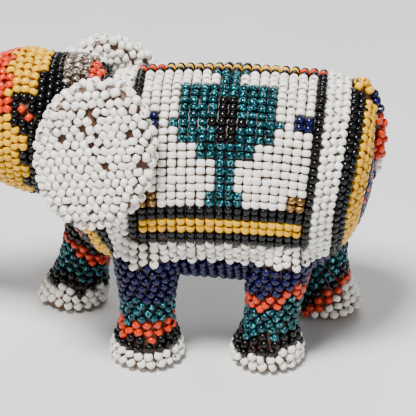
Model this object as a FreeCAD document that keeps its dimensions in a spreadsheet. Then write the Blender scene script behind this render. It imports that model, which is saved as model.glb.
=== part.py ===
import FreeCAD, Part
import os

# A small beaded elephant, head towards -X, +Z up, millimetres.
# Every limb is three nested bodies: carved wood core, a coat of beeswax on it, and a layer of beads
# pressed into the wax. Each body is a loft of ellipses; a layer is one body less the one inside it.

SIZES = (
    ("bead_layer", 1.6, "height of the beads above the wax"),
    ("wax_layer", 0.9, "thickness of the wax coat"),
    ("torso_x", 18.0, "middle of the torso"),
    ("torso_z", 41.0, "height of the torso's axis"),
    ("torso_half_length", 35.0, ""),
    ("torso_half_width", 21.0, ""),
    ("torso_half_height", 25.0, ""),
    ("head_x", -20.0, "middle of the head"),
    ("head_z", 51.2, ""),
    ("head_half_length", 18.0, ""),
    ("head_half_width", 15.0, ""),
    ("head_half_height", 16.2, ""),
    ("trunk_bend_x", -38.0, "middle of the trunk's bend"),
    ("trunk_bend_z", 61.0, ""),
    ("trunk_bend_radius", 15.0, ""),
    ("trunk_radius", 8.6, "at the face"),
    ("tail_bend_x", 32.6, "middle of the tail's bend"),
    ("tail_bend_z", 50.3, ""),
    ("tail_bend_radius", 20.8, ""),
    ("tail_radius", 2.9, ""),
    ("ear_left_x", -6.0, "middle of each ear; the right one is set a little lower and further forward"),
    ("ear_left_z", 53.5, ""),
    ("ear_right_x", -9.5, ""),
    ("ear_right_z", 51.0, ""),
    ("ear_y", 20.0, ""),
    ("ear_half_height", 16.9, ""),
    ("ear_half_length", 14.0, ""),
    ("ear_half_thickness", 3.3, ""),
    ("ear_root_x", -12.0, "the stub that joins the ear to the head"),
    ("ear_root_z", 59.0, ""),
    ("ear_root_radius", 5.6, ""),
    ("foot_half_length", 8.6, ""),
    ("foot_half_width", 8.2, ""),
    ("leg_top_z", 38.0, "height at which a leg ends inside the torso"),
    ("wax_sole_z", 0.4, "the wax and the beads stop short of the bare wooden sole"),
    ("bead_sole_z", 0.6, ""),
    ("blanket_front_x", 0.6, ""),
    ("blanket_rear_x", 42.3, ""),
    ("spine_half_width", 2.6, "half of the yellow and black row along the back"),
    ("spine_y", 2.2, "the row lies a little to the right of the middle"),
    ("border_top_z", 41.5, "upper edge of the black and yellow border"),
    ("netting_top_z", 33.5, "upper edge of the white netting"),
    ("netting_bottom_z", 27.5, ""),
    ("band_width", 9.3, "white, black and yellow band in front of and behind the blanket"),
    ("motif_x", 21.45, "middle of the teal motif"),
    ("motif_unit", 2.085, "one column of beads"),
    ("motif_left_top_z", 65.8, "a row of the white panel runs over the top of the motif"),
    ("motif_right_top_z", 64.8, ""),
    ("thigh_z", 20.0, "lower edge of the navy part of a leg"),
    ("ankle_z", 7.5, "upper edge of the white foot"),
    ("face_x", -19.5, "line between the face and the crown"),
    ("brow_z", 54.0, ""),
    ("crown_z", 61.5, "lower edge of the crystal patch on the forehead"),
    ("eye_x", -22.2, ""),
    ("eye_y", 5.0, "where the eye's round patch starts, under the beads"),
    ("eye_z", 58.5, ""),
    ("eye_radius", 2.1, ""),
)

doc = FreeCAD.newDocument("BeadedElephant")
sheet = doc.addObject("Spreadsheet::Sheet", "Sizes")
for row, (alias, value, note) in enumerate(SIZES, start=1):
    sheet.set(f"A{row}", str(value))
    sheet.setAlias(f"A{row}", alias)
    sheet.set(f"B{row}", note)
doc.recompute()

# The depth of each nested body below the outside of the beads.
DEPTHS = {
    "core": "(Sizes.bead_layer + Sizes.wax_layer) * 1 mm",
    "wax": "Sizes.bead_layer * 1 mm",
    "beads": "0 mm",
}
LEVELS = tuple(DEPTHS)

ACROSS_X = FreeCAD.Rotation(FreeCAD.Vector(0, 1, 0), -90)
ACROSS_Y = FreeCAD.Rotation(FreeCAD.Vector(1, 1, 1), -120)
FLAT = FreeCAD.Rotation()


def mm(alias):
    return f"Sizes.{alias} * 1 mm"


def place(item, centre, turn=FLAT):
    item.Placement = FreeCAD.Placement(FreeCAD.Vector(), turn)
    for axis, value in zip("xyz", centre):
        item.setExpression(f".Placement.Base.{axis}", value)
    return item


def ellipse(name, centre, major, minor, turn=FLAT):
    item = doc.addObject("Part::Ellipse", name)
    item.setExpression("MajorRadius", major)
    item.setExpression("MinorRadius", minor)
    return place(item, centre, turn)


def circle(name, centre, radius, turn):
    item = doc.addObject("Part::Circle", name)
    item.setExpression("Radius", radius)
    return place(item, centre, turn)


def loft(name, sections, ruled=False):
    item = doc.addObject("Part::Loft", name)
    item.Sections = sections
    item.Solid = True
    item.Ruled = ruled
    return item


def union(name, items):
    item = doc.addObject("Part::MultiFuse", name)
    item.Shapes = items
    return item


def cut(name, base, *tools):
    for count, tool in enumerate(tools):
        item = doc.addObject("Part::Cut", f"{name}_{count}")
        item.Base = base
        item.Tool = tool
        base = item
    return base


def common(name, base, tool):
    item = doc.addObject("Part::Common", name)
    item.Base = base
    item.Tool = tool
    return item


def box(name, low, high):
    item = doc.addObject("Part::Box", name)
    for side, start, end in zip(("Length", "Width", "Height"), low, high):
        item.setExpression(side, f"({end}) - ({start})")
    return place(item, low)


def keep(label, item):
    """Gives a finished sub-part its own name and adds it to the list of sub-parts."""
    item.Label = label
    nodes.append(item)
    return item


nodes = []


# Torso: place along the half length, share of the full width and height, rise of the middle.
TORSO_SECTIONS = (
    (-1.0, 0.30, 1.0), (-0.93, 0.58, 1.0), (-0.72, 0.84, 0.5), (-0.38, 0.97, 0.0), (0.0, 1.0, 0.0),
    (0.42, 0.99, 0.0), (0.74, 0.87, 2.0), (0.92, 0.66, 5.0), (1.0, 0.40, 8.0),
)
# Head: the same along the head, from the face to the neck.
HEAD_SECTIONS = (
    (-1.0, 0.38, 1.5), (-0.88, 0.66, 1.5), (-0.55, 0.92, 1.0), (-0.1, 1.0, 0.0), (0.4, 0.96, -0.5),
    (0.8, 0.78, -2.0), (1.0, 0.5, -3.5),
)


def barrel(name, prefix, shares, level):
    """A body lofted along X; its ends and its girth all shrink by the depth of the level."""
    depth = DEPTHS[level]
    sections = []
    for count, (along, girth, rise) in enumerate(shares):
        centre = (
            f"{mm(prefix + '_x')} + {along} * ({mm(prefix + '_half_length')} - {depth})",
            "0 mm",
            f"{mm(prefix + '_z')} + {rise} mm",
        )
        major = f"{girth} * ({mm(prefix + '_half_height')} - {depth})"
        minor = f"{girth} * ({mm(prefix + '_half_width')} - {depth})"
        sections.append(ellipse(f"{name}_{level}_{count}", centre, major, minor, ACROSS_X))
    return loft(f"{name}_{level}_form", sections)


def bent_limb(name, prefix, stations, level):
    """A tapering limb on an arc in the XZ plane; stations are (angle, share of the radius)."""
    depth = DEPTHS[level]
    radius = mm(prefix + "_radius")
    bend = mm(prefix + "_bend_radius")
    sections = []
    for count, (angle, share) in enumerate(stations):
        centre = (
            f"{mm(prefix + '_bend_x')} + {bend} * cos({angle} deg)",
            "0 mm",
            f"{mm(prefix + '_bend_z')} + {bend} * sin({angle} deg)",
        )
        turn = FreeCAD.Rotation(FreeCAD.Vector(0, 1, 0), -angle)
        sections.append(circle(f"{name}_{level}_{count}", centre, f"{radius} * {share} - {depth}", turn))
    return loft(f"{name}_{level}_form", sections)


# Trunk: comes out of the face, bends forward and up; angles run backwards round the bend.
TRUNK_STATIONS = ((300, 1.0), (270, 0.98), (240, 0.88), (212, 0.78), (184, 0.68), (156, 0.60), (130, 0.54))
# Tail: hangs down the rump.
TAIL_STATIONS = ((38, 0.95), (22, 1.0), (5, 1.0), (-13, 0.97), (-31, 0.92))

# Ear: place through the thickness, share of the outline.
EAR_SECTIONS = ((-1.0, 0.80), (-0.55, 0.98), (0.0, 1.0), (0.55, 0.98), (1.0, 0.80))
EAR_LEAN = 19.0
EAR_YAW = 7.0
EAR_PITCH = 7.0
STUB_START = 3.0  # where the stub starts inside the head, from the middle plane
STUB_SHORT = 4.0  # how far it ends short of the middle of the flap


def ear(name, side, level):
    """A flap that leans out at the bottom and stands off behind, on a short round stub."""
    depth = DEPTHS[level]
    lean = FreeCAD.Rotation(FreeCAD.Vector(1, 0, 0), side * EAR_LEAN)
    yaw = FreeCAD.Rotation(FreeCAD.Vector(0, 0, 1), side * EAR_YAW)
    pitch = FreeCAD.Rotation(FreeCAD.Vector(0, 1, 0), EAR_PITCH)
    turn = yaw * lean * pitch
    normal = turn.multVec(FreeCAD.Vector(0, 1, 0))
    sections = []
    for count, (through, outline) in enumerate(EAR_SECTIONS):
        travel = f"{through} * ({mm('ear_half_thickness')} - {depth})"
        centre = (
            f"{mm(name + '_x')} + {normal.x} * {travel}",
            f"{side} * {mm('ear_y')} + {normal.y} * {travel}",
            f"{mm(name + '_z')} + {normal.z} * {travel}",
        )
        major = f"{outline} * ({mm('ear_half_height')} - {depth})"
        minor = f"{outline} * ({mm('ear_half_length')} - {depth})"
        sections.append(ellipse(f"{name}_{level}_{count}", centre, major, minor, turn * ACROSS_Y))
    flap = loft(f"{name}_flap_{level}", sections, ruled=True)
    stub = doc.addObject("Part::Cylinder", f"{name}_stub_{level}")
    stub.setExpression("Radius", f"{mm('ear_root_radius')} - {depth}")
    stub.setExpression("Height", f"{mm('ear_y')} - {STUB_SHORT} mm")
    outwards = FreeCAD.Rotation(FreeCAD.Vector(1, 0, 0), -side * 90)
    place(stub, (mm("ear_root_x"), f"{side * STUB_START} mm", mm("ear_root_z")), outwards)
    return union(f"{name}_{level}_form", [flap, stub])


# Leg: share of the leg's height, share of the foot's size.
LEG_SECTIONS = (
    (0.0, 0.96), (0.10, 1.0), (0.20, 0.84), (0.30, 0.76),
    (0.48, 0.80), (0.68, 0.92), (0.86, 0.86), (1.0, 0.45),
)
# Where each leg stands and where it joins the torso (x, y).
LEGS = {
    "front_left": ((3.4, -13.4), (4.0, -12.2)),
    "front_right": ((-18.0, 11.0), (-6.5, 10.6)),
    "rear_left": ((30.5, -12.0), (34.0, -12.0)),
    "rear_right": ((44.0, 11.6), (38.8, 11.2)),
}
SOLES = {"core": "0 mm", "wax": mm("wax_sole_z"), "beads": mm("bead_sole_z")}


def leg(name, foot, hip, level):
    depth = DEPTHS[level]
    sections = []
    for count, (rise, share) in enumerate(LEG_SECTIONS):
        centre = [f"{foot[k] + (hip[k] - foot[k]) * rise} mm" for k in (0, 1)]
        height = f"{rise} * ({mm('leg_top_z')} - {depth})"
        if count == 0:
            height = SOLES[level]
        centre.append(height)
        major = f"{share} * {mm('foot_half_length')} - {depth}"
        minor = f"{share} * {mm('foot_half_width')} - {depth}"
        sections.append(ellipse(f"{name}_{level}_{count}", centre, major, minor))
    return loft(f"{name}_{level}_form", sections)


torso = {level: barrel("torso", "torso", TORSO_SECTIONS, level) for level in LEVELS}
head = {level: barrel("head", "head", HEAD_SECTIONS, level) for level in LEVELS}
trunk = {level: bent_limb("trunk", "trunk", TRUNK_STATIONS, level) for level in LEVELS}
tail = {level: bent_limb("tail", "tail", TAIL_STATIONS, level) for level in LEVELS}
ears = {
    f"ear_{word}": {level: ear(f"ear_{word}", side, level) for level in LEVELS}
    for word, side in (("left", -1), ("right", 1))
}
legs = {
    name: {level: leg(name, foot, hip, level) for level in LEVELS}
    for name, (foot, hip) in LEGS.items()
}

# Nesting. In each level the torso stays whole and the limbs end on it; each coat leaves out the
# level inside it, so the cores, the wax and the beads touch but don't overlap.
all_legs = {level: union(f"legs_{level}", [legs[name][level] for name in LEGS]) for level in LEVELS[:2]}
both_ears = {level: union(f"ears_{level}", [ears[name][level] for name in ears]) for level in LEVELS[:2]}

keep("torso_core", torso["core"])
keep("head_core", cut("head_wood", head["core"], torso["core"]))
keep("trunk_core", cut("trunk_wood", trunk["core"], head["core"]))
keep("tail_core", cut("tail_wood", tail["core"], torso["core"]))
for name in ears:
    keep(f"{name}_core", cut(f"{name}_wood", ears[name]["core"], head["core"], torso["core"]))
for name in LEGS:
    keep(f"{name}_leg_core", cut(f"{name}_wood", legs[name]["core"], torso["core"]))

coats = {}
INNER = {"wax": "core", "beads": "wax"}
neighbours = [torso["wax"], trunk["core"], both_ears["core"]]
coats["head", "wax"] = cut("head_coat_wax", head["wax"], head["core"], *neighbours)
for level, inner in INNER.items():
    neighbours = [head[inner], tail[inner], all_legs[inner]]
    coats["torso", level] = cut(f"torso_coat_{level}", torso[level], torso[inner], *neighbours)
    coats["trunk", level] = cut(f"trunk_coat_{level}", trunk[level], trunk[inner], head[level])
    coats["tail", level] = cut(f"tail_coat_{level}", tail[level], tail[inner], torso[level])
    for name in ears:
        neighbours = [head[level], torso[level]]
        coats[name, level] = cut(f"{name}_coat_{level}", ears[name][level], ears[name][inner], *neighbours)
    for name in LEGS:
        coats[name, level] = cut(f"{name}_coat_{level}", legs[name][level], legs[name][inner], torso[level])

for limb in ("torso", "head", "trunk", "tail", *ears):
    keep(f"{limb}_wax", coats[limb, "wax"])
for name in LEGS:
    keep(f"{name}_leg_wax", coats[name, "wax"])

# The bead layer is laid in fields. Boxes that share their walls share the layer out among them.
FAR = {"low": "-80 mm", "high": "80 mm"}
spine = (f"{mm('spine_y')} - {mm('spine_half_width')}", f"{mm('spine_y')} + {mm('spine_half_width')}")
SIDES = {"left": (FAR["low"], spine[0]), "right": (spine[1], FAR["high"])}
HALVES = {"left": (FAR["low"], "0 mm"), "right": ("0 mm", FAR["high"])}
torso_layer = coats["torso", "beads"]


def field(label, layer, along, across, up, *inside):
    """The share of a bead layer inside a box given by its three (low, high) ranges.

    A layer that is still a full body is given with what lies inside it or against it.
    """
    low, high = zip(along, across, up)
    share = common(f"{label}_share", layer, box(f"{label}_box", low, high))
    return cut(f"{label}_field", share, *inside)


whole = (FAR["low"], FAR["high"])
blanket = (mm("blanket_front_x"), mm("blanket_rear_x"))
shoulder_x = f"{mm('blanket_front_x')} - {mm('band_width')}"
rump_x = f"{mm('blanket_rear_x')} + {mm('band_width')}"
above_netting = (mm("netting_bottom_z"), FAR["high"])
keep("shoulder_band", field("shoulder_band", torso_layer, (shoulder_x, blanket[0]), whole, above_netting))
keep("rump_band", field("rump_band", torso_layer, (blanket[1], rump_x), whole, above_netting))
keep("chest_beads", field("chest_beads", torso_layer, (FAR["low"], shoulder_x), whole, above_netting))
keep("rump_beads", field("rump_beads", torso_layer, (rump_x, FAR["high"]), whole, above_netting))
keep("belly_beads", field("belly_beads", torso_layer, whole, whole, (FAR["low"], mm("netting_bottom_z"))))
keep("spine_beads", field("spine_beads", torso_layer, blanket, spine, above_netting))

# Teal motif, from its foot up: (half width in columns of beads, lower and upper edge in mm).
MOTIF_BARS = ((2, 41.5, 45.6), (1, 45.6, 52.1), (3, 52.1, 55.1), (5, 55.1, 63.5))
MOTIF_STEM = 1
for side, across in SIDES.items():
    netting = (mm("netting_bottom_z"), mm("netting_top_z"))
    keep(f"netting_{side}", field(f"netting_{side}", torso_layer, blanket, across, netting))
    border = (mm("netting_top_z"), mm("border_top_z"))
    keep(f"border_{side}", field(f"border_{side}", torso_layer, blanket, across, border))
    panel = field(f"panel_{side}", torso_layer, blanket, across, (mm("border_top_z"), FAR["high"]))
    bars = []
    stretches = [(half, f"{low} mm", f"{high} mm") for half, low, high in MOTIF_BARS]
    stretches.append((MOTIF_STEM, stretches[-1][2], mm(f"motif_{side}_top_z")))
    for count, (half, *up) in enumerate(stretches):
        along = [f"{mm('motif_x')} + {sign} * {half} * {mm('motif_unit')}" for sign in (-1, 1)]
        bars.append(box(f"bar_{side}_{count}", *zip(along, across, up)))
    cross = union(f"bars_{side}", bars)
    keep(f"motif_{side}", common(f"motif_{side}_field", panel, cross))
    keep(f"blanket_{side}", cut(f"blanket_{side}_field", panel, cross))

# Head: crystal crown, black head, yellow brow and cheeks, an eye on each side.
face = (FAR["low"], mm("face_x"))
back = (mm("face_x"), FAR["high"])
above_crown = (mm("crown_z"), FAR["high"])
below_crown = (FAR["low"], mm("crown_z"))
above_brow = (mm("brow_z"), FAR["high"])
below_brow = (FAR["low"], mm("brow_z"))
behind_face = (head["wax"], both_ears["wax"], torso["beads"])
under_face = (head["wax"], trunk["wax"])
brow = field("brow", head["beads"], face, whole, above_brow, *under_face)
keep("crown_beads", field("crown", head["beads"], back, whole, above_crown, *behind_face))
keep("head_beads", field("nape", head["beads"], back, whole, below_crown, *behind_face))
for side, across in HALVES.items():
    keep(f"cheek_{side}", field(f"cheek_{side}", head["beads"], face, across, below_brow, *under_face))
sockets = []
for side, sign in (("left", -1), ("right", 1)):
    socket = doc.addObject("Part::Cylinder", f"socket_{side}")
    socket.setExpression("Radius", mm("eye_radius"))
    socket.setExpression("Height", mm("head_half_width"))
    outwards = FreeCAD.Rotation(FreeCAD.Vector(1, 0, 0), -sign * 90)
    place(socket, (mm("eye_x"), f"{sign} * {mm('eye_y')}", mm("eye_z")), outwards)
    disc = common(f"eye_{side}_disc", head["beads"], socket)
    keep(f"eye_{side}", cut(f"eye_{side}_field", disc, head["wax"]))
    sockets.append(socket)
keep("brow_beads", cut("brow_field", brow, *sockets))

for limb in ("trunk", "tail", *ears):
    keep(f"{limb}_beads", coats[limb, "beads"])

# Legs: navy thigh, banded shank, white foot.
LEG_FIELDS = {
    "thigh": (mm("thigh_z"), FAR["high"]),
    "shank": (mm("ankle_z"), mm("thigh_z")),
    "foot": (FAR["low"], mm("ankle_z")),
}
for name in LEGS:
    for part_name, up in LEG_FIELDS.items():
        label = f"{name}_{part_name}"
        keep(f"{label}_beads", field(label, coats[name, "beads"], whole, whole, up))

doc.recompute()
for item in doc.Objects:
    if "Invalid" in item.State or "Error" in item.State:
        raise SystemExit(f"{item.Name} failed: {item.getStatusString()}")

bounds = FreeCAD.BoundBox()
for item in nodes:
    if item.Shape.isNull() or not item.Shape.isValid() or len(item.Shape.Solids) == 0:
        raise SystemExit(f"{item.Label} has no valid shape")
    bounds.add(item.Shape.optimalBoundingBox(True, False))

# The origin is on the ground under the middle of the figure.
shift = FreeCAD.Placement(FreeCAD.Vector(-bounds.Center.x, -bounds.Center.y, -bounds.ZMin), FLAT)
for item in nodes:
    item.Placement = shift * item.Placement

os.makedirs("parts", exist_ok=True)
for item in nodes:
    item.Shape.exportStep(f"parts/{item.Label}.step")
print(f"{len(nodes)} sub-parts, moved by {shift.Base}")
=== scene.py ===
import math

import bpy
import numpy as np
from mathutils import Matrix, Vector
from mathutils.bvhtree import BVHTree
from mathutils.kdtree import KDTree


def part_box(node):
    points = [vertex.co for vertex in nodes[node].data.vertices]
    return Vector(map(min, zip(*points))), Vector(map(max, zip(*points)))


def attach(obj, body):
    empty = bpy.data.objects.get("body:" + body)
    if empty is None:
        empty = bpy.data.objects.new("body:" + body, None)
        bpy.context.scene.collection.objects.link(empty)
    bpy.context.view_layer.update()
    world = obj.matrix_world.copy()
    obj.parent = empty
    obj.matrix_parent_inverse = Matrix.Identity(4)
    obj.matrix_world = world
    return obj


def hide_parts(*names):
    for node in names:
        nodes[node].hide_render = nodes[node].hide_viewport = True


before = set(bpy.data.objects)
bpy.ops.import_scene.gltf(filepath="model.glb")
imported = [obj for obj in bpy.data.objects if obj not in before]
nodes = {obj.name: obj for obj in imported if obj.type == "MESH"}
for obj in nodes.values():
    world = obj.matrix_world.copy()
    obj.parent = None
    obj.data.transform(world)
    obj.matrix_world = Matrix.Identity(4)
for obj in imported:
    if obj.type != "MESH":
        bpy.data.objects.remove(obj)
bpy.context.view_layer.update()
rng = np.random.default_rng(11)

MM = 0.001

# Size 11/0 seed beads. On the blanket a column is one bead wide and a row is one bead long.
BEAD_RADIUS = 1.01 * MM
BEAD_LENGTH = 1.6 * MM
ROW = 1.69 * MM
SINK = 0.42 * MM  # how deep a bead sits in the wax
TOO_CLOSE = 1.36 * MM  # a bead isn't pressed in when another's centre is nearer than this
CLOSE_SET = 1.2 * MM  # the same for the blanket's rows and the eye, which lie tighter
STILL_CLOSE = 1.22 * MM  # of two centres nearer than this after settling, one is taken out
GAP = 1.62 * MM  # a bead is pressed into any place this far from every other
GAP_TRIES = 45000
VOXEL = 0.7 * MM
WAX_EDGE = 0.45 * MM  # the wax stops this high above the ground
SOLE_HEIGHT = 1.3 * MM  # the sole shows bare wood up to here
LOWEST = 2.0 * MM  # the bead rows stop above the bare sole


def centre(node):
    low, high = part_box(node)
    return np.array((low + high) / 2)


def unit(v):
    return v / (np.linalg.norm(v) + 1e-12)


# ---------------------------------------------------------------- wax coat

# Bumps on the forehead: place along X, how far they rise.
BUMPS = ((-21.7 * MM, 1.5 * MM), (-10.7 * MM, 1.8 * MM))
BUMP_LENGTH = 2.7 * MM
BUMP_WIDTH = 6.0 * MM
BUMP_FOOT = 60.0 * MM  # the bumps fade in above this height, over BUMP_FADE
BUMP_FADE = 4 * MM


def wax_coat():
    """One coat that blends the cores and the wax of every limb."""
    verts, faces, start = [], [], 0
    for name, part in nodes.items():
        if not name.endswith(("_wax", "_core")):
            continue
        verts.extend(v.co.copy() for v in part.data.vertices)
        faces.extend([start + i for i in p.vertices] for p in part.data.polygons)
        start += len(part.data.vertices)
    mesh = bpy.data.meshes.new("limbs")
    mesh.from_pydata(verts, [], faces)
    coat = bpy.data.objects.new("wax_coat", mesh)
    bpy.context.scene.collection.objects.link(coat)
    remesh = coat.modifiers.new("blend", "REMESH")
    remesh.mode = "VOXEL"
    remesh.voxel_size = VOXEL
    soften = coat.modifiers.new("soften", "SMOOTH")
    soften.factor = 0.6
    soften.iterations = 6
    depsgraph = bpy.context.evaluated_depsgraph_get()
    blended = bpy.data.meshes.new_from_object(coat.evaluated_get(depsgraph))
    coat.modifiers.clear()
    coat.data = blended
    for vertex in blended.vertices:
        x, y, z = vertex.co
        rise = min(max((z - BUMP_FOOT) / BUMP_FADE, 0.0), 1.0)
        for place, height in BUMPS:
            shape = math.exp(-(((x - place) / BUMP_LENGTH) ** 2 + (y / BUMP_WIDTH) ** 2) / 2)
            vertex.co.z += height * rise * shape
        vertex.co.z = max(vertex.co.z, WAX_EDGE)
    blended.polygons.foreach_set("use_smooth", [True] * len(blended.polygons))
    return coat


def tree_of(mesh):
    return BVHTree.FromPolygons([v.co for v in mesh.vertices], [p.vertices for p in mesh.polygons])


coat = wax_coat()
surface = tree_of(coat.data)
LIMBS = {name[:-4]: tree_of(part.data) for name, part in nodes.items() if name.endswith("_wax")}


OWNER_REACH = 4 * MM


def owner(spot):
    """The limb whose wax lies nearest, or None when none is within reach."""
    distances = {name: tree.find_nearest(Vector(spot), OWNER_REACH)[3] for name, tree in LIMBS.items()}
    near = {name: d for name, d in distances.items() if d is not None}
    return min(near, key=near.get) if near else None


def cast(origin, direction, reach):
    """Point and normal where a ray meets the wax, or None when that is further off than reach."""
    point, normal, _, _ = surface.ray_cast(Vector(origin), Vector(direction), reach)
    if point is None:
        return None
    return np.array(point), np.array(normal)


# ---------------------------------------------------------------- placing beads

CELL = 2.2 * MM
# Fields whose beads stay where they are pressed.
FIXED = ("blanket", "motif", "border", "netting", "spine", "eye")
# A bead's mess is the scatter of its place in mm. Its turn scatters by TURN_SCATTER radians per mm.
TURN_SCATTER = 2.2
HEIGHT_SCATTER = 0.04  # mm
TIP_SCATTER = 0.08
SETTLE_REACH = 1.84 * MM  # nearer neighbours push each other apart
SETTLE_SHARE = 0.36


class Beadwork:
    """Every bead pressed in so far, with a grid that finds a bead's neighbours."""

    def __init__(self):
        self.beads = []
        self.grid = {}

    def cell(self, point):
        return tuple(np.floor(point / CELL).astype(int))

    def nearest(self, point):
        i, j, k = self.cell(point)
        best = 1.0
        for di in (-1, 0, 1):
            for dj in (-1, 0, 1):
                for dk in (-1, 0, 1):
                    for other in self.grid.get((i + di, j + dj, k + dk), ()):
                        d = point - other
                        best = min(best, d @ d)
        return math.sqrt(best)

    def press(self, field, colour, spot, normal, along, turn=0.0, mess=0.05, room=TOO_CLOSE, lift=0.0):
        """Presses one bead into the wax, its hole along a direction, unless another is in the way."""
        normal = unit(normal)
        along = unit(along - normal * (along @ normal))
        across = np.cross(normal, along)
        turn = turn + rng.normal(0, mess * TURN_SCATTER)
        axis = along * math.cos(turn) + across * math.sin(turn)
        shift = rng.normal(0, mess, 2) * MM
        point = spot + along * shift[0] + across * shift[1]
        point = point + normal * (BEAD_RADIUS - SINK + lift + rng.normal(0, HEIGHT_SCATTER) * MM)
        if self.nearest(point) < room:
            return False
        axis = unit(axis + normal * rng.normal(0, TIP_SCATTER))
        self.grid.setdefault(self.cell(point), []).append(point)
        self.beads.append([field, colour, point, normal, axis])
        return True

    def settle(self, rounds, reach=SETTLE_REACH):
        """Loose neighbours push each other apart along the wax."""
        for _ in range(rounds):
            tree = KDTree(len(self.beads))
            for i, bead in enumerate(self.beads):
                tree.insert(bead[2], i)
            tree.balance()
            for i, bead in enumerate(self.beads):
                if bead[0].startswith(FIXED):
                    continue
                push = np.zeros(3)
                for other, j, distance in tree.find_range(bead[2], reach):
                    if j != i:
                        push += (bead[2] - np.array(other)) / (distance + 1e-9) * (reach - distance)
                spot, normal, _, _ = surface.find_nearest(Vector(bead[2] + push * SETTLE_SHARE))
                if spot.z < LOWEST:
                    spot.z = LOWEST
                bead[3] = np.array(normal)
                bead[2] = np.array(spot) + bead[3] * (BEAD_RADIUS - SINK)
                bead[4] = unit(bead[4] - bead[3] * (bead[4] @ bead[3]))
        self.grid = {}
        for bead in self.beads:
            self.grid.setdefault(self.cell(bead[2]), []).append(bead[2])

    def thin_out(self, room):
        """Takes out beads nearer than room to one already kept; the fixed fields are kept first."""
        kept, self.grid = [], {}
        for bead in sorted(self.beads, key=lambda b: not b[0].startswith(FIXED)):
            if self.nearest(bead[2]) >= room:
                kept.append(bead)
                self.grid.setdefault(self.cell(bead[2]), []).append(bead[2])
        self.beads = kept


work = Beadwork()


def zigzag(value):
    """A triangle wave between -1 and 1 with period 1."""
    return 4 * abs((value % 1.0) - 0.5) - 1


# ---------------------------------------------------------------- blanket and torso

TORSO_LOW, TORSO_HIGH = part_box("torso_wax")
COLUMNS = 20
BLANKET_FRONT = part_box("blanket_left")[0].x
BLANKET_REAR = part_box("blanket_left")[1].x
COLUMN = (BLANKET_REAR - BLANKET_FRONT) / COLUMNS
TORSO_MIDDLE = (TORSO_LOW.z + TORSO_HIGH.z) / 2
HALF_HEIGHT = (TORSO_HIGH.z - TORSO_LOW.z) / 2
HALF_WIDTH = TORSO_HIGH.y
SEAM = centre("spine_beads")[1]  # the row along the back lies this far right of the middle

# Rows of the blanket, counted down from row 0 along the back. Row 1 is black, then comes the motif.
BLACK_ROW = ("black", 1.39)  # colour, height in mm
YELLOW_ROW = ("yellow", 1.69)
BORDER = (BLACK_ROW, BLACK_ROW, YELLOW_ROW, YELLOW_ROW, BLACK_ROW, BLACK_ROW)
MOTIF_START = 2
MOTIF_ROWS = 19
NETTING_ROWS = 4
NETTING_ROW = 1.6 * MM
BELLY_ROWS = 26
BORDER_START = MOTIF_START + MOTIF_ROWS
NETTING_START = BORDER_START + len(BORDER)
BELLY_START = NETTING_START + NETTING_ROWS
HEIGHTS = [ROW] * BORDER_START
HEIGHTS += [height * MM for _, height in BORDER]
HEIGHTS += [NETTING_ROW] * NETTING_ROWS + [ROW] * BELLY_ROWS
PLACES = np.cumsum(HEIGHTS) - np.array(HEIGHTS) / 2 - ROW / 2

# The motif, counted in beads: its first and last row of each stretch, and half its width in columns.
TEAL = ((1, 1, 2), (2, 3, 1), (4, 11, 5), (12, 13, 3), (14, 17, 1), (18, 19, 2))
BLACK_HEART = ((6, 8, 1), (9, 9, 2), (10, 11, 1))
NAVY_SQUARE = (8, 9)
GOLD_SQUARE = (18, 19)
ARM = 6  # half width of the teal in the navy squares' lower row
SQUARE = 7  # columns from the middle to the small squares
ORANGE_ENDS = 3  # columns of orange at each end of row 0


def half_width(table, row):
    for first, last, half in table:
        if first <= row <= last:
            return half
    return 0


def blanket_colour(column, row):
    off = abs(column - (COLUMNS - 1) / 2)
    edge = off > COLUMNS / 2 - 1
    motif_row = row - MOTIF_START + 1
    if row == 0:
        return "orange" if off > COLUMNS / 2 - ORANGE_ENDS else "yellow"
    if row >= BELLY_START:
        return "navy"
    if row >= NETTING_START:
        return "white"
    if edge or row == 1:
        return "black"
    if row >= BORDER_START:
        return BORDER[row - BORDER_START][0]
    if off < half_width(BLACK_HEART, motif_row):
        return "black"
    if off < half_width(TEAL, motif_row):
        return "teal"
    if motif_row == NAVY_SQUARE[1] and off < ARM:
        return "teal"
    if off > SQUARE and motif_row in NAVY_SQUARE:
        return "navy"
    if off > SQUARE and motif_row in GOLD_SQUARE:
        return "bronze"
    return "white"


PAST_SPINE = 0.3  # radians over the spine at which an outline starts
REAR_LEAN = 2.3 * MM  # the rear edge of the blanket runs forward by this much down to mid height
LEAN_END = 1.3  # and by this many times as much at the most, below it
OVAL = 1.07  # up to this many times the plain oval's radius, the wax counts as torso
DRAPE = 1.35  # the netting hangs over the thighs, which bulge this far at most
MISSED = 9.0  # stands for the bulge where a ray met no wax


def leaning(x, lean, angle):
    """Place along X at an angle from the spine, of a line that runs forward on its way down."""
    return x - lean * min(1 - math.cos(angle), LEAN_END)


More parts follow.
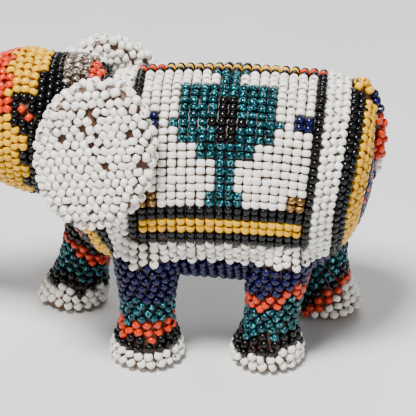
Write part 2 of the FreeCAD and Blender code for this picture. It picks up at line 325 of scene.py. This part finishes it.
def section(x, side, lean, steps=110):
    """The torso's outline from just past the spine round one side to the belly.

    Points, normals, arc lengths from the spine, and how far each lies beyond the plain oval.
    """
    origin = np.array((x, 0.0, TORSO_MIDDLE))
    top = cast(origin, (0, 0, 1), HALF_HEIGHT * 1.2)
    share = (top[0][2] - TORSO_MIDDLE) / HALF_HEIGHT
    points, normals, bulge = [], [], []
    angles = np.linspace(-PAST_SPINE, math.pi, steps)
    for angle in angles:
        origin[0] = leaning(x, lean, angle)
        out = np.array((0.0, side * math.sin(angle), math.cos(angle)))
        plain = share / math.hypot(math.sin(angle) / HALF_WIDTH, math.cos(angle) / HALF_HEIGHT)
        found = cast(origin, out, plain * DRAPE)
        points.append(found[0] if found else origin + out * plain)
        normals.append(found[1] if found else out)
        bulge.append(np.linalg.norm(points[-1] - origin) / plain if found else MISSED)
    points, normals = np.array(points), np.array(normals)
    arc = np.concatenate([[0], np.cumsum(np.linalg.norm(np.diff(points, axis=0), axis=1))])
    return points, normals, arc - np.interp(0, angles, arc), np.array(bulge)


def along_line(points, normals, arc, bulge, place, most=OVAL):
    """Point, normal and direction at an arc length, or None where the line isn't on this limb."""
    i = int(np.searchsorted(arc, place)) - 1
    i = min(max(i, 0), len(arc) - 2)
    if max(bulge[i], bulge[i + 1]) > most:
        return None
    part = (place - arc[i]) / (arc[i + 1] - arc[i] + 1e-12)
    spot = points[i] * (1 - part) + points[i + 1] * part
    normal = unit(normals[i] * (1 - part) + normals[i + 1] * part)
    return spot, normal, unit(points[i + 1] - points[i])


def torso_field(row, side):
    word = "left" if side < 0 else "right"
    if row < MOTIF_START:
        return "spine_beads"
    if row < BORDER_START:
        return f"blanket_{word}"
    if row < NETTING_START:
        return f"border_{word}"
    if row < BELLY_START:
        return f"netting_{word}"
    return "belly_beads"


LOOSE_TURN = 0.5
LOOSE_MESS = 0.09
NEAT_MESS = 0.05
FRINGE_LIFT = 0.3 * MM  # the netting's last row sits this much higher in the wax


def lay_blanket():
    """Columns of beads from the spine down both sides, and on round the belly."""
    for column in range(COLUMNS):
        x = BLANKET_FRONT + (column + 0.5) * COLUMN
        lean = REAR_LEAN * max(2 * (column + 0.5) / COLUMNS - 1, 0.0)
        for side in (-1, 1):
            line = section(x, side, lean)
            for row, place in enumerate(PLACES):
                if row == 0 and side > 0:
                    continue
                place = place + side * SEAM
                if place > line[2][-1]:
                    break
                loose = row >= NETTING_START
                if loose and column % 2:
                    place += ROW / 2
                hangs = row >= BORDER_START
                found = along_line(*line, place, DRAPE if hangs else OVAL)
                if found is None:
                    continue
                spot, normal, down = found
                if row >= BELLY_START and owner(spot) != "torso":
                    continue
                last = row == BELLY_START - 1
                if last and column % 2:
                    continue
                colour = blanket_colour(column, row)
                field = torso_field(row, side)
                if colour == "teal":
                    field = "motif_left" if side < 0 else "motif_right"
                turn = LOOSE_TURN * (-1) ** (column + row) if loose else 0.0
                mess = LOOSE_MESS if loose else NEAT_MESS
                lift = FRINGE_LIFT if last else 0.0
                work.press(field, colour, spot, normal, down, turn, mess, CLOSE_SET, lift)


# ---------------------------------------------------------------- domes: rump, chest, head


def dome(middle, pole, reach, lean=0.0, spin_steps=120, dip_steps=60):
    """Lines over a rounded end, from the girdle to the pole, one for each angle round the pole."""
    side = unit(np.cross(pole, (0, 0, 1.0)))
    up = np.cross(side, pole)
    lines = []
    for spin in np.linspace(0, 2 * math.pi, spin_steps, endpoint=False):
        girdle = up * math.cos(spin) + side * math.sin(spin)
        start = np.array((leaning(middle[0], lean, spin), middle[1], middle[2]))
        points, normals, bulge = [], [], []
        for dip in np.linspace(0, math.pi / 2, dip_steps):
            out = girdle * math.cos(dip) + pole * math.sin(dip)
            limit = 1 / math.sqrt(sum((out[k] / reach[k]) ** 2 for k in range(3)))
            found = cast(start, out, limit)
            points.append(found[0] if found else start + out * limit)
            normals.append(found[1] if found else out)
            bulge.append(1.0 if found else MISSED)
        points = np.array(points)
        arc = np.concatenate([[0], np.cumsum(np.linalg.norm(np.diff(points, axis=0), axis=1))])
        lines.append((points, np.array(normals), arc, np.array(bulge)))
    return lines


def lay_dome(lines, choose, rings, pitch=ROW):
    """Rings of beads round a dome at the given arc lengths; choose(ring, number, spot) describes a bead."""
    for ring, place in enumerate(rings):
        spots = [along_line(*line, place) if place < line[2][-1] else None for line in lines]
        travelled = 0.0
        offset = 0.5 * (ring % 2) * pitch
        number = 0
        for i, here in enumerate(spots):
            there = spots[(i + 1) % len(spots)]
            if here is None or there is None:
                continue
            step = np.linalg.norm(there[0] - here[0])
            while offset + number * pitch < travelled + step:
                part = (offset + number * pitch - travelled) / (step + 1e-12)
                number += 1
                if part < 0:
                    continue
                spot = here[0] * (1 - part) + there[0] * part
                normal = here[1] * (1 - part) + there[1] * part
                chosen = choose(ring, number, spot)
                if chosen:
                    field, colour, turn, mess = chosen
                    work.press(field, colour, spot, normal, there[0] - here[0], turn, mess)
            travelled += step


# Rings in front of and behind the blanket.
BAND = ("white", "white", "white", "black", "black", "yellow", "yellow", "yellow")
WHITE_RINGS = BAND.count("white")
BAND_GAP = 1.7 * MM
END_RINGS = 24
FIRST_RING = 0.55  # share of a gap that lies before the first ring
BAND_RINGS = [(ring + FIRST_RING) * BAND_GAP for ring in range(END_RINGS)]
BAND_TURN = 0.6
RING_MESS = 0.07
NETTING_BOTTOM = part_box("netting_left")[0].z
BELLY_DROP = 3 * MM  # past the white rings the belly's navy starts this much lower


def band_bead(ring, number, spot, word, rest_field, rest_colour):
    """A bead of the band, the plain part beyond it, or the belly below."""
    herring = BAND_TURN * (-1) ** (ring + number)
    limb = owner(spot)
    if limb != "torso" and not (ring < len(BAND) and "leg" in str(limb) and spot[2] > NETTING_BOTTOM):
        return None
    if spot[2] < NETTING_BOTTOM - (0 if ring < WHITE_RINGS else BELLY_DROP):
        return "belly_beads", "navy", herring, RING_MESS
    if ring < len(BAND):
        return word, BAND[ring], herring, RING_MESS
    return rest_field, rest_colour, herring, RING_MESS


# Orange chevrons on the rump, at these distances from each other up and sideways.
CHEVRON_HEIGHT = 17 * MM
CHEVRON_WIDTH = 15 * MM
CHEVRON_EDGE = 0.8  # the wave is orange above this
CHEST_RING = 10  # the orange ring on the chest, with black before it and navy after


def rump(ring, number, spot):
    streak = zigzag(spot[2] / CHEVRON_HEIGHT + abs(spot[1]) / CHEVRON_WIDTH)
    colour = "orange" if streak > CHEVRON_EDGE else "navy"
    return band_bead(ring, number, spot, "rump_band", "rump_beads", colour)


def chest(ring, number, spot):
    colour = "orange" if ring == CHEST_RING else "black" if ring < CHEST_RING else "navy"
    return band_bead(ring, number, spot, "shoulder_band", "chest_beads", colour)


RUMP_RAISE = 3 * MM  # the rings behind the blanket are centred this far above the torso's middle
END_REACH = (1.5, 1.25, 1.1)  # how far the rays go, in shares of the torso's own measures


def lay_torso_ends():
    for x, pole, choose in ((BLANKET_REAR, 1.0, rump), (BLANKET_FRONT, -1.0, chest)):
        end = TORSO_HIGH.x if pole > 0 else TORSO_LOW.x
        middle = np.array((x, 0.0, TORSO_MIDDLE + (RUMP_RAISE if pole > 0 else 0)))
        own = (abs(end - x), HALF_WIDTH, HALF_HEIGHT)
        limit = tuple(measure * share for measure, share in zip(own, END_REACH))
        lean = REAR_LEAN if pole > 0 else 0.0
        lay_dome(dome(middle, np.array((pole, 0.0, 0.0)), limit, lean), choose, BAND_RINGS)


# ---------------------------------------------------------------- tubes: legs, trunk, tail


TUBE_RAYS = 72
RING_TURN = 0.45


def taper(widest, less):
    """How far the rays go, in mm at the start of a tube, and how much less by its end."""
    return lambda share: (widest - less * share) * MM


def lay_tube(path, reach, choose, pitch=COLUMN, gap=ROW):
    """Rings of beads round a bent limb; path gives points down its middle, reach its widest radius."""
    path = np.array(path)
    arc = np.concatenate([[0], np.cumsum(np.linalg.norm(np.diff(path, axis=0), axis=1))])
    for ring, place in enumerate(np.arange(gap / 2, arc[-1], gap)):
        i = min(int(np.searchsorted(arc, place)) - 1, len(path) - 2)
        part = (place - arc[i]) / (arc[i + 1] - arc[i])
        middle = path[i] * (1 - part) + path[i + 1] * part
        forward = unit(path[min(i + 2, len(path) - 1)] - path[max(i - 1, 0)])
        side = unit(np.cross(forward, (0.0, 1.0, 0.0)))
        front = np.cross(forward, side)
        found = []
        for angle in np.linspace(0, 2 * math.pi, TUBE_RAYS, endpoint=False):
            out = side * math.cos(angle) + front * math.sin(angle)
            found.append(cast(middle, out, reach(place / arc[-1])))
        pairs = list(zip(found, found[1:] + found[:1]))
        length = sum(np.linalg.norm(a[0] - b[0]) for a, b in pairs if a and b)
        if length < pitch:
            continue
        number = max(3, round(length / pitch))
        spacing = length / number
        travelled = 0.0
        count = 0.5 * (ring % 2)
        for k, (a, b) in enumerate(pairs):
            if not (a and b):
                continue
            stretch = np.linalg.norm(a[0] - b[0])
            while count < number and count * spacing <= travelled + stretch:
                part = (count * spacing - travelled) / (stretch + 1e-12)
                spot = a[0] * (1 - part) + b[0] * part
                normal = a[1] * (1 - part) + b[1] * part
                chosen = choose(ring, (k + part) / TUBE_RAYS, spot)
                if chosen:
                    field, colour, turn, mess = chosen
                    work.press(field, colour, spot, normal, forward, turn, mess)
                count += 1
            travelled += stretch


# Each leg from the sole up: upper edge in mm at the middle of the foot, its slope along X, colour.
LEG_BANDS = {
    "front_left": (
        (4.6, 0.0, "white"), (7.8, 0.0, "black"), (11.0, 0.0, "orange"), (16.8, 0.0, "teal"),
    ),
    "rear_left": (
        (4.6, 0.12, "white"), (8.4, 0.15, "black"), (15.6, 0.43, "teal"), (19.0, 0.43, "orange"),
    ),
    "front_right": (
        (5.6, 0.0, "white"), (9.2, -0.3, "black"), (16.8, -0.75, "teal"), (20.2, -0.75, "orange"),
    ),
    "rear_right": (
        (4.4, 0.9, "white"), (7.8, 0.9, "orange"), (10.6, 0.9, "black"), (27.0, 0.0, "teal"),
    ),
}
LEG_TOPS = {"front_left": "navy", "rear_left": "navy", "front_right": "black", "rear_right": "navy"}
LEG_WAVE = 0.8 * MM  # a band's edge waves by this much, this many times round
LEG_WAVES = 5
LEG_FIRST = 1.4 * MM  # the path up a leg starts this high
LEG_STRAIGHT = 3 * MM  # and goes straight up for this far
LEG_BEND = 8  # mm above the middle of the foot piece
LEG_TOP = 34 * MM
LEG_TAPER = (9.4, 1.4)
FOOT_TURN = 1.2
FOOT_MESS = 0.10
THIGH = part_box("front_left_thigh_beads")[0].z


def lay_leg(name):
    foot = centre(f"{name}_foot_beads")
    thigh = centre(f"{name}_thigh_beads")
    direction = (thigh - foot) / (thigh[2] - foot[2])
    low = foot * (1, 1, 0) + np.array((0, 0, LEG_FIRST))
    ankle = low + (0, 0, LEG_STRAIGHT)
    path = [low, ankle, foot + direction * LEG_BEND * MM, foot + direction * (LEG_TOP - foot[2])]

    def choose(ring, angle, spot):
        if spot[2] > NETTING_BOTTOM and owner(spot) != f"{name}_leg":
            return None
        colour = LEG_TOPS[name]
        for top, slope, band in LEG_BANDS[name]:
            edge = top * MM + slope * (spot[0] - foot[0]) + LEG_WAVE * zigzag(angle * LEG_WAVES)
            if spot[2] < edge:
                colour = band
                break
        if colour == "white":
            return f"{name}_foot_beads", colour, rng.uniform(-FOOT_TURN, FOOT_TURN), FOOT_MESS
        share = "thigh" if spot[2] > THIGH else "shank"
        return f"{name}_{share}_beads", colour, RING_TURN * (-1) ** ring, RING_MESS

    lay_tube(path, taper(*LEG_TAPER), choose)


TRUNK_CYCLE = ("black", "yellow", "yellow", "orange", "orange", "black", "teal", "teal", "white")
TRUNK_BEND = 15 * MM
TRUNK_RADIUS = 8.6 * MM  # where the path is lowest, near the face
TRUNK_FRONT = 5.6 * MM  # from the foremost point of the path to that of the beads
TRUNK_TURN = (300, 131)  # degrees round the bend, from the face to the tip
TRUNK_TAPER = (8.8, 4.0)
TAIL_BEND = 20.8 * MM
TAIL_RADIUS = 2.4 * MM
TAIL_REACH = TAIL_RADIUS * 1.3
TAIL_REAR = 1.2 * MM  # from the rearmost point of the path to that of the wax
TAIL_TURN = (38, -31)
TAIL_RING_TURN = 0.3
TAIL_MESS = 0.08
TAIL_BANDS = ((2, "yellow"), (5, "navy"), (11, "orange"), (13, "white"), (99, "navy"))


def bend_path(middle, radius, first, last, steps=30):
    angles = np.radians(np.linspace(first, last, steps))
    return [middle + radius * np.array((math.cos(a), 0.0, math.sin(a))) for a in angles]


def lay_trunk():
    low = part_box("trunk_beads")[0]
    middle = np.array((low.x + TRUNK_BEND + TRUNK_FRONT, 0.0, low.z + TRUNK_RADIUS + TRUNK_BEND))

    def choose(ring, angle, spot):
        colour = TRUNK_CYCLE[(ring // 2) % len(TRUNK_CYCLE)]
        return "trunk_beads", colour, RING_TURN * (-1) ** ring, RING_MESS

    lay_tube(bend_path(middle, TRUNK_BEND, *TRUNK_TURN), taper(*TRUNK_TAPER), choose)


def lay_tail():
    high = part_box("tail_wax")[1]
    rise = TAIL_BEND * math.sin(math.radians(TAIL_TURN[0]))
    middle = np.array((high.x - TAIL_BEND - TAIL_REAR, 0.0, high.z - rise))

    def choose(ring, angle, spot):
        colour = next(shade for last, shade in TAIL_BANDS if ring < last)
        return "tail_beads", colour, TAIL_RING_TURN * (-1) ** ring, TAIL_MESS

    lay_tube(bend_path(middle, TAIL_BEND, *TAIL_TURN), lambda share: TAIL_REACH, choose)


# ---------------------------------------------------------------- ears

EAR_ROWS = 22  # rows and columns tried each way from the middle
EAR_ROW = 1.66 * MM
EAR_PITCH = 1.82 * MM
EAR_TILT = math.radians(8)
EAR_STUB = 35  # percent of the carved ear's points, the inner ones, that don't count as flap
EAR_REACH = 3.6 * MM
EAR_EDGE = 0.3  # cosine of the steepest wax that counts as a face of the flap
EAR_TURN = 0.5
EAR_STRAY = 0.4
EAR_MESS = 0.24


def lay_ear(name, side):
    """Rows on both faces of the flap; the gaps round its edge are filled later."""
    core = np.array([v.co for v in nodes[f"{name}_core"].data.vertices])
    flap = core[side * core[:, 1] > np.percentile(side * core[:, 1], EAR_STUB)]
    middle = (flap.max(0) + flap.min(0)) / 2
    _, _, spread = np.linalg.svd(flap - flap.mean(0), full_matrices=False)
    normal = spread[2] * np.sign(spread[2][1] * side)
    up = unit(np.array((0, 0, 1.0)) - normal * normal[2])
    rear = np.cross(up, normal)
    rear = rear * np.sign(rear[0])
    across = rear * math.cos(EAR_TILT) + up * math.sin(EAR_TILT)
    down = np.cross(normal, across)
    for face in (1, -1):
        for row in range(-EAR_ROWS, EAR_ROWS + 1):
            for column in range(-EAR_ROWS, EAR_ROWS + 1):
                place = across * (column + 0.5 * (row % 2)) * EAR_PITCH + down * row * EAR_ROW
                found = cast(middle + place, normal * face, EAR_REACH)
                if found is None or found[1] @ (normal * face) < EAR_EDGE or owner(found[0]) != name:
                    continue
                turn = EAR_TURN * (-1) ** (row + column) + rng.uniform(-EAR_STRAY, EAR_STRAY)
                work.press(f"{name}_beads", "white", *found, across, turn, EAR_MESS)


# ---------------------------------------------------------------- head

HEAD_LOW, HEAD_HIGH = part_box("head_wax")
EYE = centre("eye_left") * (1, -1, 1)
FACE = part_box("brow_beads")[1].x
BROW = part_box("brow_beads")[0].z
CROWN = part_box("crown_beads")[0].z

# Where the head's colours change, in mm, judged from the photo. LOW is a height; FRONT, REAR and EDGE are
# places along X. An edge given as a pair is a place at HEAD_TOP and its lean forward per mm below it.
HEAD_TOP = 67
STEP = 1.2  # a jagged edge steps by this much, every two beads
EYE_PATCH = 3.8 * MM  # radius of the black round each eye
CRYSTAL_LOW = 59.5
CRYSTAL_FRONT = (-12.6, 0.35)
CRYSTAL_REAR = (-7.4, 0.42)
TRIM_LOW = 57  # orange trim behind the crystal patch
TRIM_WIDTH = 3.5
FOREHEAD_LOW = 61.0
FOREHEAD_FRONT = -25.0
FOREHEAD_REAR = (-17.4, 0.25)
FOREHEAD_HALF_WIDTH = 10.5
TOP_EDGE = -24.0  # orange above the trunk
TOP_LOW = 58
CHEEK_EDGE = -21.3
SNOUT_EDGE = -30
SNOUT_LOW = 50


def crystal_edge(edge, z):
    place, lean = edge
    return place - lean * max(HEAD_TOP - z, 0)


def head_colour(spot, number):
    x, y, z = spot[0] / MM, abs(spot[1]) / MM, spot[2] / MM
    step = STEP * ((number % 4) // 2)
    crystal_rear = crystal_edge(CRYSTAL_REAR, z)
    forehead_rear = FOREHEAD_REAR[0] - FOREHEAD_REAR[1] * (HEAD_TOP - z)
    on_forehead = FOREHEAD_FRONT + step < x < forehead_rear and y < FOREHEAD_HALF_WIDTH - step
    if math.hypot(spot[0] - EYE[0], spot[2] - EYE[2]) < EYE_PATCH:
        return "black"
    if z > CRYSTAL_LOW and crystal_edge(CRYSTAL_FRONT, z) < x < crystal_rear:
        return "crystal"
    if z > TRIM_LOW and crystal_rear <= x < crystal_rear + TRIM_WIDTH:
        return "orange"
    if z > FOREHEAD_LOW and on_forehead:
        return "yellow"
    if z > TOP_LOW and x <= TOP_EDGE:
        return "orange"
    if z <= FOREHEAD_LOW and x < CHEEK_EDGE - step:
        return "orange" if x < SNOUT_EDGE and z > SNOUT_LOW else "yellow"
    return "black"


def head_field(spot):
    if spot[0] < FACE:
        word = "left" if spot[1] < 0 else "right"
        return "brow_beads" if spot[2] > BROW else f"cheek_{word}"
    return "crown_beads" if spot[2] > CROWN else "head_beads"


EYE_SLANT = 0.75 * MM
EYE_REACH = 30 * MM
EYE_MESS = 0.02
HEAD_REACH = 1.3
HEAD_RINGS = 20
HEAD_GAP = 1.75  # mm
HEAD_PITCH = 1.72 * MM
HEAD_TURN = 0.35


def lay_head():
    """The eyes first, two beads each, then rings over the head's front half and its rear half."""
    for word, side in (("left", -1), ("right", 1)):
        for slant in (-EYE_SLANT, EYE_SLANT):
            middle = np.array((EYE[0] + slant, 0.0, EYE[2] - slant))
            found = cast(middle, (0, side, 0), EYE_REACH)
            along = np.array((1.0, 0.0, -1.0))
            work.press(f"eye_{word}", "orange", *found, along, 0.0, EYE_MESS, CLOSE_SET)
    middle = np.array(((HEAD_LOW.x + HEAD_HIGH.x) / 2, 0.0, (HEAD_LOW.z + HEAD_HIGH.z) / 2))
    reach = np.array(HEAD_HIGH - HEAD_LOW) / 2 * HEAD_REACH

    def choose(ring, number, spot):
        if owner(spot) != "head":
            return None
        turn = HEAD_TURN * (-1) ** (ring + number)
        return head_field(spot), head_colour(spot, number), turn, RING_MESS

    rings = [(ring + 0.5) * HEAD_GAP * MM for ring in range(HEAD_RINGS)]
    for pole in (-1.0, 1.0):
        lay_dome(dome(middle, np.array((pole, 0.0, 0.0)), reach), choose, rings, HEAD_PITCH)


# ---------------------------------------------------------------- gaps


SOLE_FACING = -0.6  # low wax that faces down more than this gets no bead
GRAIN = (0.3, 1.0, 0.2)  # holes of these beads lie square to this, before they turn
GAP_TURN = 1.5
GAP_MESS = 0.03
SETTLE_ROUNDS = 4
LAST_ROUNDS = 2


def fill_gaps():
    """Presses a bead of the nearest colour into every bare spot left between the fields."""
    tree = KDTree(len(work.beads))
    for i, bead in enumerate(work.beads):
        tree.insert(bead[2], i)
    tree.balance()
    known = [(bead[0], bead[1]) for bead in work.beads]
    mesh = coat.data
    areas = np.array([p.area for p in mesh.polygons])
    for pick in rng.choice(len(areas), GAP_TRIES, p=areas / areas.sum()):
        polygon = mesh.polygons[int(pick)]
        spot, normal = np.array(polygon.center), np.array(polygon.normal)
        if spot[2] < LOWEST or (normal[2] < SOLE_FACING and spot[2] < 2 * LOWEST):
            continue
        field, colour = known[tree.find(Vector(spot))[1]]
        if field.startswith("eye"):
            field, colour = head_field(spot), "black"
        along = np.cross(normal, GRAIN)
        work.press(field, colour, spot, normal, along, rng.uniform(-GAP_TURN, GAP_TURN), GAP_MESS, GAP)


lay_blanket()
for ear_name, ear_side in (("ear_left", -1), ("ear_right", 1)):
    lay_ear(ear_name, ear_side)
lay_head()
lay_torso_ends()
for leg_name in LEG_BANDS:
    lay_leg(leg_name)
lay_trunk()
lay_tail()
for _ in range(2):
    work.settle(SETTLE_ROUNDS)
    fill_gaps()
work.settle(LAST_ROUNDS)
work.thin_out(STILL_CLOSE)

# ---------------------------------------------------------------- materials


NOISE_LOW = 0.3  # nearly all of the noise lies between these
NOISE_HIGH = 0.7
NOISE_DETAIL = 3.0
BUMP_DEPTH = 0.1 * MM


def noise_material(name, stops, scale, roughness, stretch=(1, 1, 1), bump=0.3, **sockets):
    """A shader whose colour runs over a ramp of (position, colour) stops, driven by noise."""
    material = bpy.data.materials.new(name)
    material.use_nodes = True
    tree = material.node_tree
    shader = tree.nodes["Principled BSDF"]
    for socket, value in sockets.items():
        shader.inputs[socket.replace("_", " ")].default_value = value
    place = tree.nodes.new("ShaderNodeTexCoord")
    mapping = tree.nodes.new("ShaderNodeMapping")
    mapping.inputs["Scale"].default_value = stretch
    noise = tree.nodes.new("ShaderNodeTexNoise")
    noise.inputs["Scale"].default_value = scale
    noise.inputs["Detail"].default_value = NOISE_DETAIL
    ramp = tree.nodes.new("ShaderNodeValToRGB")
    elements = ramp.color_ramp.elements
    while len(elements) < len(stops):
        elements.new(0.5)
    for element, (position, colour) in zip(elements, stops):
        element.position = position
        element.color = (*colour, 1.0)
    rough = tree.nodes.new("ShaderNodeMapRange")
    rough.inputs["From Min"].default_value = NOISE_LOW
    rough.inputs["From Max"].default_value = NOISE_HIGH
    rough.inputs["To Min"].default_value = roughness[0]
    rough.inputs["To Max"].default_value = roughness[1]
    height = tree.nodes.new("ShaderNodeBump")
    height.inputs["Strength"].default_value = bump
    height.inputs["Distance"].default_value = BUMP_DEPTH
    link = tree.links.new
    link(place.outputs["Object"], mapping.inputs["Vector"])
    link(mapping.outputs["Vector"], noise.inputs["Vector"])
    link(noise.outputs["Fac"], ramp.inputs["Fac"])
    link(ramp.outputs["Color"], shader.inputs["Base Color"])
    link(noise.outputs["Fac"], rough.inputs["Value"])
    link(rough.outputs["Result"], shader.inputs["Roughness"])
    link(noise.outputs["Fac"], height.inputs["Height"])
    link(height.outputs["Normal"], shader.inputs["Normal"])
    return material


def opaque(colour, base, **sockets):
    """Opaque glass: glossy, and a little different from bead to bead."""
    shades = ((NOISE_LOW, 0.84), (NOISE_HIGH, 1.08))
    stops = [(place, tuple(min(1.0, c * share) for c in base)) for place, share in shades]
    return noise_material(f"{colour}_glass", stops, 420.0, (0.09, 0.18), bump=0.1, **sockets)


def lined(colour, dark, middle, painted_glint, stretch=(1, 1, 1), **sockets):
    """Silver-lined glass: dark, with sharp painted highlights in its colour that stand in for the glints of
    the lining.
    """
    stops = [(0.38, dark), (0.56, middle), (0.66, painted_glint)]
    return noise_material(f"{colour}_glass", stops, 1500.0, (0.10, 0.22), stretch, 0.2, **sockets)


GLASS = {
    "white": opaque("white", (0.93, 0.88, 0.80)),
    "black": opaque("black", (0.0022, 0.0020, 0.0022), IOR=1.38),
    "yellow": opaque("yellow", (0.80, 0.42, 0.0)),
    "orange": opaque("orange", (0.60, 0.028, 0.0)),
    "navy": opaque("navy", (0.002, 0.0018, 0.040), IOR=1.4),
    # Teal, crystal and bronze: the last colour of each is a painted highlight, the lining's glints painted
    # into the bead's colour.
    "teal": lined(
        "teal", (0.0, 0.010, 0.014), (0.0, 0.045, 0.060), (0.05, 0.45, 0.50), (1.5, 1.5, 0.8), Metallic=0.3
    ),
    "crystal": lined(
        "crystal", (0.06, 0.035, 0.02), (0.42, 0.34, 0.27), (0.95, 0.88, 0.80), (0.5, 1.6, 1.6), Metallic=0.5
    ),
    "bronze": lined("bronze", (0.05, 0.02, 0.003), (0.25, 0.12, 0.02), (0.80, 0.50, 0.16), Metallic=0.4),
}
WAX_STOPS = [(NOISE_LOW, (0.030, 0.010, 0.004)), (NOISE_HIGH, (0.10, 0.036, 0.012))]
WOOD_STOPS = [(NOISE_LOW, (0.16, 0.08, 0.030)), (0.55, (0.30, 0.16, 0.07)), (0.75, (0.40, 0.23, 0.11))]
WOOD_STRETCH = (0.25, 1.6, 1.6)
wax = noise_material("beeswax", WAX_STOPS, 900.0, (0.32, 0.55), bump=0.6)
wood = noise_material("carved_wood", WOOD_STOPS, 700.0, (0.5, 0.7), WOOD_STRETCH, 0.5)


# ---------------------------------------------------------------- bead meshes

SEGMENTS = 12
SIZE_SCATTER = 0.03
LENGTH_SCATTER = 0.06
# Half of a bead's cross-section: share of the radius, share of the half length.
PROFILE = ((0.42, 0.52), (0.60, 0.94), (0.83, 0.85), (0.99, 0.40))


def bead_form():
    """One drilled bead along +X: vertices and quads."""
    outline = [(r, -t) for r, t in PROFILE] + [(r, t) for r, t in reversed(PROFILE)]
    verts = []
    for k in range(SEGMENTS):
        angle = 2 * math.pi * k / SEGMENTS
        for radial, axial in outline:
            radius = radial * BEAD_RADIUS
            verts.append((axial * BEAD_LENGTH / 2, radius * math.cos(angle), radius * math.sin(angle)))
    n = len(outline)
    quads = []
    for k in range(SEGMENTS):
        for j in range(n):
            a, b = k * n + j, k * n + (j + 1) % n
            c, d = (k + 1) % SEGMENTS * n + (j + 1) % n, (k + 1) % SEGMENTS * n + j
            quads.append((a, b, c, d))
    return np.array(verts), np.array(quads)


def bead_piece(node, beads):
    """One piece that holds every bead of a field."""
    form, quads = bead_form()
    colours = sorted({bead[1] for bead in beads})
    verts = np.empty((len(beads), len(form), 3))
    slots = np.empty(len(beads), int)
    for i, (_, colour, point, normal, axis) in enumerate(beads):
        second = unit(np.cross(normal, axis))
        third = np.cross(axis, second)
        spin = rng.uniform(0, 2 * math.pi)
        y_axis = second * math.cos(spin) + third * math.sin(spin)
        z_axis = np.cross(axis, y_axis)
        size = 1 + rng.normal(0, SIZE_SCATTER)
        length = 1 + rng.normal(0, LENGTH_SCATTER)
        verts[i] = form @ np.array((axis * length, y_axis * size, z_axis * size)) + point
        slots[i] = colours.index(colour)
    faces = (quads[None] + (np.arange(len(beads)) * len(form))[:, None, None]).reshape(-1, 4)
    mesh = bpy.data.meshes.new(f"glass_{node}")
    mesh.vertices.add(verts.size // 3)
    mesh.vertices.foreach_set("co", verts.ravel())
    mesh.loops.add(faces.size)
    mesh.loops.foreach_set("vertex_index", faces.ravel())
    mesh.polygons.add(len(faces))
    mesh.polygons.foreach_set("loop_start", np.arange(0, faces.size, 4))
    mesh.polygons.foreach_set("material_index", np.repeat(slots, len(quads)))
    mesh.polygons.foreach_set("use_smooth", np.ones(len(faces), bool))
    mesh.update(calc_edges=True)
    for colour in colours:
        mesh.materials.append(GLASS[colour])
    piece = bpy.data.objects.new(f"glass_{node}", mesh)
    bpy.context.scene.collection.objects.link(piece)
    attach(piece, "root")
    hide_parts(node)
    return piece


fields = {}
for bead in work.beads:
    fields.setdefault(bead[0], []).append(bead)
for node, beads in sorted(fields.items()):
    bead_piece(node, beads)

coat.data.materials.append(wax)
coat.data.materials.append(wood)
for polygon in coat.data.polygons:
    polygon.material_index = int(polygon.center.z < SOLE_HEIGHT)
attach(coat, "root")
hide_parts(*[name for name in nodes if name.endswith("_wax")])
for name, node in nodes.items():
    if name.endswith("_core"):
        node.data.materials.clear()
        node.data.materials.append(wood)

# ---------------------------------------------------------------- floor, light, camera

# Metres and watts.
FLOOR_SIZE = 3.0
WORLD_COLOUR = (0.9, 0.93, 1.0, 1.0)
WORLD_STRENGTH = 0.22
LIGHTS = (  # name, place, size, power
    ("key", (-0.08, -0.20, 0.55), 0.15, 7.6),
    ("fill", (0.45, -0.50, 0.25), 0.5, 0.9),
    ("back", (0.05, 0.45, 0.50), 0.4, 2.2),
)
CAMERA_AZIMUTH = math.radians(5)
CAMERA_ELEVATION = math.radians(27)
CAMERA_DISTANCE = 0.4
CAMERA_TARGET = Vector((0.01736, 0.001, 0.031))
LENS = 152.3  # mm, for a sensor 36 mm wide
SENSOR = 36.0


def aim(item, target):
    item.rotation_euler = (target - item.location).to_track_quat("-Z", "Y").to_euler()


def area_light(name, place, size, power, target):
    data = bpy.data.lights.new(name, "AREA")
    data.size = size
    data.energy = power
    item = bpy.data.objects.new(name, data)
    item.location = place
    bpy.context.scene.collection.objects.link(item)
    aim(item, target)


floor_mesh = bpy.data.meshes.new("floor")
half = FLOOR_SIZE / 2
corners = [(-half, -half, 0), (half, -half, 0), (half, half, 0), (-half, half, 0)]
floor_mesh.from_pydata(corners, [], [(0, 1, 2, 3)])
floor = bpy.data.objects.new("floor", floor_mesh)
bpy.context.scene.collection.objects.link(floor)
FLOOR_STOPS = [(NOISE_LOW, (0.74, 0.74, 0.73)), (NOISE_HIGH, (0.76, 0.76, 0.75))]
floor_mesh.materials.append(noise_material("floor_paint", FLOOR_STOPS, 40.0, (0.65, 0.75), bump=0.0))

for light_name, place, size, power in LIGHTS:
    area_light(light_name, place, size, power, CAMERA_TARGET)

world = bpy.data.worlds.new("studio")
world.use_nodes = True
world.node_tree.nodes["Background"].inputs["Color"].default_value = WORLD_COLOUR
world.node_tree.nodes["Background"].inputs["Strength"].default_value = WORLD_STRENGTH
bpy.context.scene.world = world

camera_data = bpy.data.cameras.new("camera")
camera_data.lens = LENS
camera_data.sensor_width = SENSOR
camera_data.clip_start = 0.01
camera = bpy.data.objects.new("camera", camera_data)
out = Vector((
    math.sin(CAMERA_AZIMUTH) * math.cos(CAMERA_ELEVATION),
    -math.cos(CAMERA_AZIMUTH) * math.cos(CAMERA_ELEVATION),
    math.sin(CAMERA_ELEVATION),
))
camera.location = CAMERA_TARGET + out * CAMERA_DISTANCE
aim(camera, CAMERA_TARGET)
bpy.context.scene.collection.objects.link(camera)
bpy.context.scene.camera = camera
